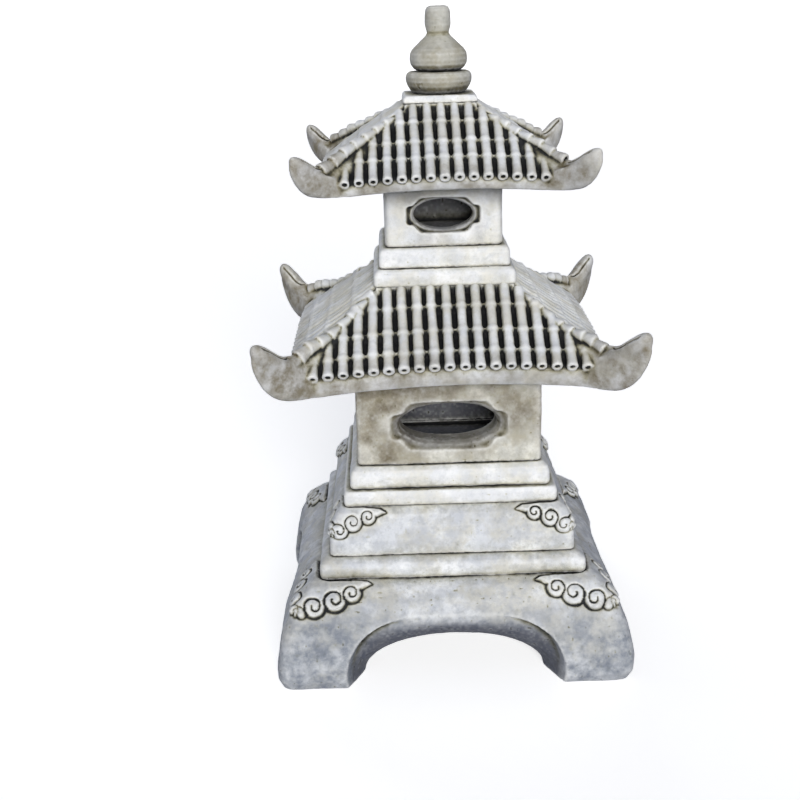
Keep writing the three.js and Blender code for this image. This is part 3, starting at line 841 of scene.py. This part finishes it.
# Lengths are in millimetres. floor and top hold half-width and height; a third value makes the ring round.
# eaves hold half-width and height at the middle of a side and then at its corner. hip_rows hold the slope's
# half-width, then the half-width and height of its corner. plain holds half-widths of rings between collars.
LOWER_ROOF = dict(
    name="lower_roof", body="lower_roof_tier", fold=132 / 149, bulge=3.0, drop=6.5,
    floor=[(0.5, 310), (61.5, 310), (61.5, 316.3), (98, 316.3)],
    eaves=[(125, 315, 128, 313.2), (140, 314, 152, 310.5), (145.5, 314.2, 163, 308.2),
           (147.2, 315.6, 170, 310.2), (148.2, 318.2, 177, 316.5), (149, 321.5, 184, 326.5),
           (149.3, 325.5, 188.6, 338), (149.5, 328.8, 191.8, 348.5), (149.2, 331.5, 193.2, 357.5),
           (148.2, 333.5, 192.2, 364.5), (146.8, 335, 188.3, 368.5), (145.5, 335.5, 183, 367),
           (144, 336.5, 177, 361), (142.5, 337.5, 171, 356.5), (140, 339, 164, 354)],
    hip_rows=[(136, 153, 352.5), (126, 132, 352), (108, 110, 361), (90, 90, 374)],
    top=[(73, 388), (70.5, 390), (70.5, 397.4), (30, 397.4), (30, 403), (0.5, 403)],
    plain=(126, 110, 90, 74), tiles=19, spacing=14.9, rod=5.35, bell=5.8,
    eave=152.5, eave_height=337.0, rise=0.71, rod_drop=6.0, lean=2.0, prow=13.0,
    cap_half=70.0, bed=4.8, collars=(16.5, 43.0, 75.0),
    hip=[(70, 397), (81, 389.4), (92, 382.7), (101, 377), (109, 371), (118.5, 365.5), (126, 363.7),
         (138.7, 361.5), (153, 352.5)], hip_radius=(4.9, 9.0), long_hip=(161, 349.5),
    horn=[(150, 337, 9), (160, 342, 9.5), (169, 348.5, 10), (176, 355.5, 10.2), (181, 361.5, 9.4),
          (184, 366, 8), (185.6, 369.4, 6), (186.4, 371.4, 3.8), (186.8, 372.8, 1.4)],
    horn_groove=(356, 5.6), hips=9,
    voxel=1.0, seed=81,
)
UPPER_ROOF = dict(
    name="upper_roof", body="upper_roof_tier", fold=96.5 / 115, bulge=2.0, drop=4.0,
    floor=[(0.5, 497.5), (40.5, 497.5), (40.5, 503.8), (62, 503.8)],
    eaves=[(90, 502.6, 92, 502), (106, 501.6, 116, 501), (111, 501.4, 126, 499.6),
           (113, 502.6, 133.5, 501.4), (114, 504.8, 140, 507), (114.8, 507.4, 145, 515),
           (115.2, 510, 148.2, 523.5), (115, 512, 149.6, 531), (114.5, 513.3, 148.6, 536),
           (113.6, 514, 145, 538.6), (112.8, 514.6, 140.5, 537), (112, 515, 136, 532.5),
           (111, 516, 131, 529), (109.5, 517, 125, 527.5)],
    hip_rows=[(104, 117.5, 527.5), (92, 93, 535), (70, 70, 549), (52, 52, 560)],
    top=[(39, 569), (36.5, 570), (36.5, 576.6), (9.5, 576.6, 9.5), (9.5, 565.5, 9.5), (0.5, 565.5, 0.5)],
    plain=(92, 70, 52, 40), tiles=15, spacing=13.8, rod=4.7, bell=5.1,
    eave=117.5, eave_height=516.0, rise=0.70, rod_drop=3.5, lean=0.8, prow=10.0,
    cap_half=36.0, bed=4.3, collars=(24.0, 47.0, 76.0),
    hip=[(36, 574), (42.7, 568.5), (52, 565), (61, 562), (71, 556), (81, 551), (95, 545), (106, 537.5),
         (117, 531.5)], hip_radius=(4.2, 7.2), long_hip=(121, 529.5),
    horn=[(114, 516, 7.5), (122, 519.5, 7.5), (129, 524, 8.2), (135, 529, 8.4), (139.2, 533, 7.8),
          (142, 536.4, 6.4), (143.4, 539, 4.6), (144, 540.6, 2.8), (144.2, 541.6, 1)],
    horn_groove=(529, 4.4), hips=8,
    voxel=0.9, seed=91,
)
ROOF_STATIONS = 96
ROOF_FACES = 198000
RIM_CLIMB = [(0, 0.08, 0.18, 0.32, 0.5, 0.65, 0.8, 0.9, 1), (0, 0.10, 0.27, 0.42, 0.53, 0.65, 0.83, 0.94, 1)]


def rod_height(roof, distance, x=0.0):
    """Height of the axis of a row of tiles over a distance from the middle of the roof."""
    t = x / (roof["spacing"] * (roof["tiles"] - 1) / 2)
    sag = roof["rod_drop"] * t ** 2 - roof["lean"] * t
    return roof["eave_height"] + (roof["eave"] - distance) * roof["rise"] - sag


def roof_ring(roof, row):
    """One ring round the roof; its corners sweep out and up."""
    middle_half, middle_z, corner_half, corner_z = row
    s = np.linspace(-1, 1, ROOF_STATIONS, endpoint=False)
    s = np.sign(s) * (1 - (1 - np.abs(s)) ** 1.25)
    along = np.abs(s)
    fold = roof["fold"]
    inner = np.minimum(1, along / fold)
    u = np.clip((along - fold) / (1 - fold), 0, 1)
    swept = np.clip((corner_half - middle_half) / 12.0, 0, 1)
    bulge = roof["bulge"] * swept
    lift = np.clip((corner_z - middle_z) / 6.0, -1, 1)
    drop = roof["drop"] * swept
    lean = roof["lean"] * swept * (s * np.minimum(1, fold / np.maximum(along, fold))) * (1 - u)
    half = middle_half + bulge * inner ** 4 + (corner_half - middle_half - bulge) * (1 - (1 - u) ** 1.5)
    climb = np.interp(u, *RIM_CLIMB) if lift > 0 else u ** 1.2
    z = middle_z - drop * inner ** 2 + (corner_z - middle_z + drop) * climb + lean
    ring = np.column_stack([s * half, -half, z])
    radius = np.clip((corner_half - middle_half) * 0.6, 0.01, roof["prow"])
    flat = np.abs(ring[:, :2])
    past = np.clip(flat - (corner_half - radius), 0, None)
    beyond = (past > 0).all(1) & (np.linalg.norm(past, axis=1) > radius)
    pulled = past[beyond] * (radius / np.linalg.norm(past[beyond], axis=1))[:, None] + corner_half - radius
    ring[beyond, :2] = np.sign(ring[beyond, :2]) * pulled
    return np.vstack([turned_points(ring, k) for k in range(SIDES)])


def roof_rings(roof):
    """Rings of the roof body: ceiling, eaves, stepped slope under the tiles, and the top."""
    rings = [roof_ring(roof, (half, z, half, z)) for half, z in roof["floor"]]
    rings += [roof_ring(roof, row) for row in roof["eaves"]]
    slope = math.hypot(1, roof["rise"])
    outer = roof["hip_rows"][0]
    rings.append(roof_ring(roof, (outer[0], rod_height(roof, outer[0]) - roof["bed"], outer[1], outer[2])))
    rows = [(half, 0.0) for half in roof["plain"]]
    for collar in roof["collars"]:
        edge = roof["eave"] - collar / slope
        rows += [(edge + 2.2, -1.0), (edge + 0.6, 1.2)]
    middle, corner_half, corner_z = zip(*roof["hip_rows"][::-1])
    for half, lift in sorted(rows, key=lambda row: -row[0]):
        if half > outer[0] - 4 or half < roof["cap_half"] + 3:
            continue
        z = rod_height(roof, half) - roof["bed"] + lift
        c_half = np.interp(half, middle, corner_half) if half > middle[0] else half
        c_z = np.interp(half, middle, corner_z) if half > middle[0] else z
        rings.append(roof_ring(roof, (half, z, max(c_half, half), c_z)))
    for half, z, *is_round in roof["top"]:
        if is_round:
            angles = np.arctan2(rings[-1][:, 1], rings[-1][:, 0])
            circle = half * np.cos(angles), half * np.sin(angles), np.full(len(angles), z)
            rings.append(np.column_stack(circle))
        else:
            rings.append(roof_ring(roof, (half, z, half, z)))
    return rings


def tile_row(roof, x, random):
    """Row of round tiles down one slope, each ending in a collar, with a hollow bell at the eave."""
    slope = math.hypot(1, roof["rise"])
    down = np.array([0, -1 / slope, -roof["rise"] / slope])
    upward = np.array([0, -roof["rise"] / slope, 1 / slope])
    across = np.array([1.0, 0, 0])
    top = max(abs(x), roof["cap_half"]) - 2.0
    end = np.array([x, -roof["eave"], rod_height(roof, roof["eave"], x)]) + down * 4.0
    length = (roof["eave"] - top) * slope + 4.0
    rod = roof["rod"] * random.uniform(0.96, 1.05)
    rows = [(length, rod * 0.96), (5.6, rod)]
    for c in roof["collars"]:
        at = c + 4.0 + random.uniform(-1.2, 1.2)
        if at < length - 4:
            rise = random.uniform(0.7, 1.1)
            rows += [(at + 7.0, rod), (at + 3.6, rod + 0.25), (at + 2.4, rod + rise), (at - 1.6, rod + rise),
                     (at - 2.6, rod + 0.1), (at - 4.0, rod * 0.97)]
    rows = sorted((r for r in rows if r[0] <= length), key=lambda r: -r[0])
    wobble = random.uniform(-0.5, 0.5)
    axis = [end - down * back + across * wobble * math.sin(back * 0.05) for back, _ in rows]
    parts = [bar(axis, [r for _, r in rows], across, upward)]
    bell = roof["bell"] * random.uniform(0.94, 1.06)
    hole = bell * 0.40
    bell_rows = [(9.0, rod * 0.9), (7.0, rod), (4.0, bell * 0.96), (1.2, bell), (0.2, bell * 0.93),
                 (0.0, hole * 1.35), (0.9, hole), (5.0, hole * 0.8)]
    bell_axis = [end - down * back for back, _ in bell_rows]
    parts.append(bar(bell_axis, [r for _, r in bell_rows], across, upward, 20))
    return parts


def battens(roof):
    """Raised lower edges of the flat tiles, which cross the gaps between the rows at each collar."""
    slope = math.hypot(1, roof["rise"])
    parts = []
    for c in roof["collars"]:
        distance = roof["eave"] - (c + 3.0) / slope
        x = np.linspace(-distance + 4, distance - 4, 40)
        axis = np.column_stack([x, np.full(len(x), -distance), rod_height(roof, distance, x) - 1.6])
        parts.append(bar(axis, [1.9] * len(x), (0, 1, 0), (0, 0, 1), 10))
    return parts


def hip_ridge(roof, longer):
    """Overlapping half-pipe tiles down one corner of the roof."""
    line = roof["hip"] + [roof["long_hip"]] if longer else roof["hip"]
    crest = np.array([(half, -half, z) for half, z in line], float)
    across = np.array([1.0, 1.0, 0]) / math.sqrt(2)
    steps = np.linalg.norm(np.diff(crest, axis=0), axis=1)
    along = np.concatenate([[0], np.cumsum(steps)])
    count = roof["hips"]
    parts = []
    small, large = roof["hip_radius"]
    large = large if longer else 0.65 * small + 0.35 * large
    marks = np.linspace(0, along[-1], count + 1)
    for k in range(count):
        start, stop = max(marks[k] - 4.0, 0), marks[k + 1]
        at = np.array([start, start + 3, (start + stop) / 2, stop - 3.0, stop - 1.0, stop])
        place = np.column_stack([np.interp(at, along, crest[:, i]) for i in range(3)])
        direction = place[-1] - place[0]
        direction /= np.linalg.norm(direction)
        upward = np.cross(across, direction)
        upward = upward if upward[2] > 0 else -upward
        size = small + (large - small) * ((k + 1) / count) ** 2
        radii = size * np.array([0.64, 0.70, 0.90, 1.06, 1.10, 0.98])
        lift = np.array([-2.6, -2.2, -0.4, 1.0, 1.0, 0.4])
        centre = place - np.outer(radii - lift, upward)
        if k == count - 1:
            centre = np.vstack([centre, centre[-1], centre[-1] - direction * 3.0])
            radii = np.concatenate([radii, [size * 0.62, size * 0.5]])
        parts.append(bar(centre, radii, across, upward, 24))
    return parts


def horn(roof):
    """Thick upturned horn at one corner of the roof."""
    axis = np.array([(half, -half, z) for half, z, _ in roof["horn"]], float)
    return bar(axis, [r for _, _, r in roof["horn"]], np.array([1.0, 1.0, 0]) / math.sqrt(2), segments=28)


def carve_horns(roof, points, normals):
    """U-shaped groove on the inner face of each horn."""
    level, half_width = roof["horn_groove"]
    flat = np.abs(points[:, :2])
    outward = np.sign(points[:, :2])
    inner_face = (normals[:, :2] * outward).sum(1) < -0.25
    near = inner_face & (flat.min(1) > roof["horn"][2][0] - 12) & (points[:, 2] > level - half_width - 3)
    side = (flat[:, 0] - flat[:, 1]) / math.sqrt(2)
    below = np.minimum(points[:, 2] - level, 0)
    distance = np.abs(np.hypot(side, below) - half_width)
    depth = 1.5 * (1 - smoothstep(0.4, 1.6, distance)) * near
    return points - normals * depth[:, None]


def mark_roof(roof, points):
    """Gaps between the tile rows get near-black painted shade; the fascia has brown stains with painted shade
    towards its lower edge, and the horns have stains, those on the left more.
    """
    flat = np.abs(points[:, :2])
    across, reach, z = flat.min(1), flat.max(1), points[:, 2]
    above = z - rod_height(roof, reach, across)
    last = roof["spacing"] * (roof["tiles"] - 1) / 2 + roof["rod"] + 1
    on_slope = (reach < roof["eave"] - 6.5) & (reach > roof["cap_half"] - 2)
    on_slope &= across < np.minimum(reach - 4, last)
    on_slope &= z > roof["eave_height"] - 16
    # Painted shade in the gaps between tile rows.
    gap = np.where(on_slope, smoothstep(-1.6, -3.6, above), 0)
    low = smoothstep(roof["eave_height"] - 6, roof["eave_height"] - 12, z)
    edge = smoothstep(roof["eave"] - 8, roof["eave"] - 4, reach)
    fold = roof["fold"] * roof["eave"]
    on_horn = smoothstep(fold * 0.95, fold * 1.1, across)
    # Stains on the fascia, with painted shade growing towards its lower edge, and stains on the horns.
    stain_and_shade = edge * (0.34 + 0.30 * low) + on_horn * np.where(points[:, 0] < 0, 1.0, 0.5)
    stain_and_shade += 0.40 * noise(points, 24.0, roof["seed"] + 7) * edge
    return gap, np.clip(stain_and_shade, 0, 0.95)


def soften_horns(roof, points):
    """How far each point lies on a horn, which is worn to one smooth swell."""
    flat = np.abs(points[:, :2])
    start = roof["fold"] * roof["eaves"][6][0]
    return smoothstep(start + 9, start + 17, flat.min(1)) * smoothstep(start + 27, start + 33, flat.max(1))


def build_roof(roof):
    """Roof body with its tile rows, battens, hips and horns made one stone."""
    random = np.random.default_rng(roof["seed"])
    parts = [shell(roof_rings(roof))]
    for side in range(SIDES):
        slope = []
        for tile in range(roof["tiles"]):
            slope += tile_row(roof, (tile - (roof["tiles"] - 1) / 2) * roof["spacing"], random)
        slope += battens(roof) + hip_ridge(roof, side == SIDES - 1) + [horn(roof)]
        parts += [turned(part, side) for part in slope]
    obj = new_object(roof["name"] + "_stone", joined(parts))
    return finish_stone(roof["name"], roof["body"], "roof_stone", obj, roof["voxel"], ROOF_FACES, 1,
                        roof["seed"], 0.7, lambda points, normals: carve_horns(roof, points, normals),
                        lambda points: mark_roof(roof, points), lambda points: soften_horns(roof, points))


# ---- Caps, seat and finial ----

def caps():
    simple_stone("lower_roof_cap", "lower_roof_tier", "pale_stone",
                 [(0.5, 403.5), (30.5, 403.5, 1), (30.5, 397.7, 1), (72.6, 397.7), (73.2, 400), (73, 409),
                  (71.5, 412.6), (68.5, 415.2), (24, 415.2, 1), (24, 421.2, 1), (0.5, 421.2)],
                 5, 0.9, 60000, 101)
    simple_stone("upper_seat", "upper_lamp", "pale_stone",
                 [(0.5, 422), (24.5, 422, 1), (24.5, 415.5, 1), (66.2, 415.5), (66.9, 418), (66.9, 430),
                  (65.3, 434), (62.4, 435.9), (24, 435.9, 1), (24, 441.9, 1), (0.5, 441.9)],
                 5, 0.9, 60000, 111)
    obj = new_object("upper_roof_cap_stone", stone_loop(
        [(9.5, 576.9, 9.5), (37.3, 576.9), (37.8, 578), (37.4, 581.5), (35.6, 584.2), (9.5, 584.2, 9.5)], 3))
    finish_stone("upper_roof_cap", "upper_roof_tier", "pale_stone", obj, 0.7, 30000, 3, 121)


DISH = [(0.3, 566), (9, 566), (9, 584.8), (26, 584.8), (28.5, 586.5), (32, 592), (33.6, 597),
        (33.6, 601.5), (32.4, 604.2), (30, 605.8), (25.5, 606.2), (8.5, 606.2), (8.5, 598.5),
        (0.3, 598.5)]
JEWEL = [(0.3, 599), (8, 599), (8, 606.8), (22, 606.8), (25.4, 608.6), (28.6, 613), (29.4, 618),
         (28.8, 623.5), (26.3, 628), (20, 634), (15, 638.6), (12.2, 641.6), (11.3, 643.8), (12.2, 646.4),
         (13.3, 651), (13.5, 656), (13.2, 661), (12.5, 665.6), (10.9, 668.6), (8.4, 669.7), (0.3, 669.9)]


def finial():
    obj = new_object("finial_dish_stone", lathe(DISH))
    finish_stone("finial_dish", "finial", "finial_stone", obj, 0.7, 40000, 3, 131, 0.8)
    obj = new_object("finial_jewel_stone", lathe(JEWEL))
    finish_stone("finial_jewel", "finial", "finial_stone", obj, 0.7, 50000, 3, 141, 0.8)


# ---- The whole lantern ----

add_camera()
add_light()
add_stage()
base_courses()
lamp_boxes()
build_roof(LOWER_ROOF)
build_roof(UPPER_ROOF)
caps()
finial()
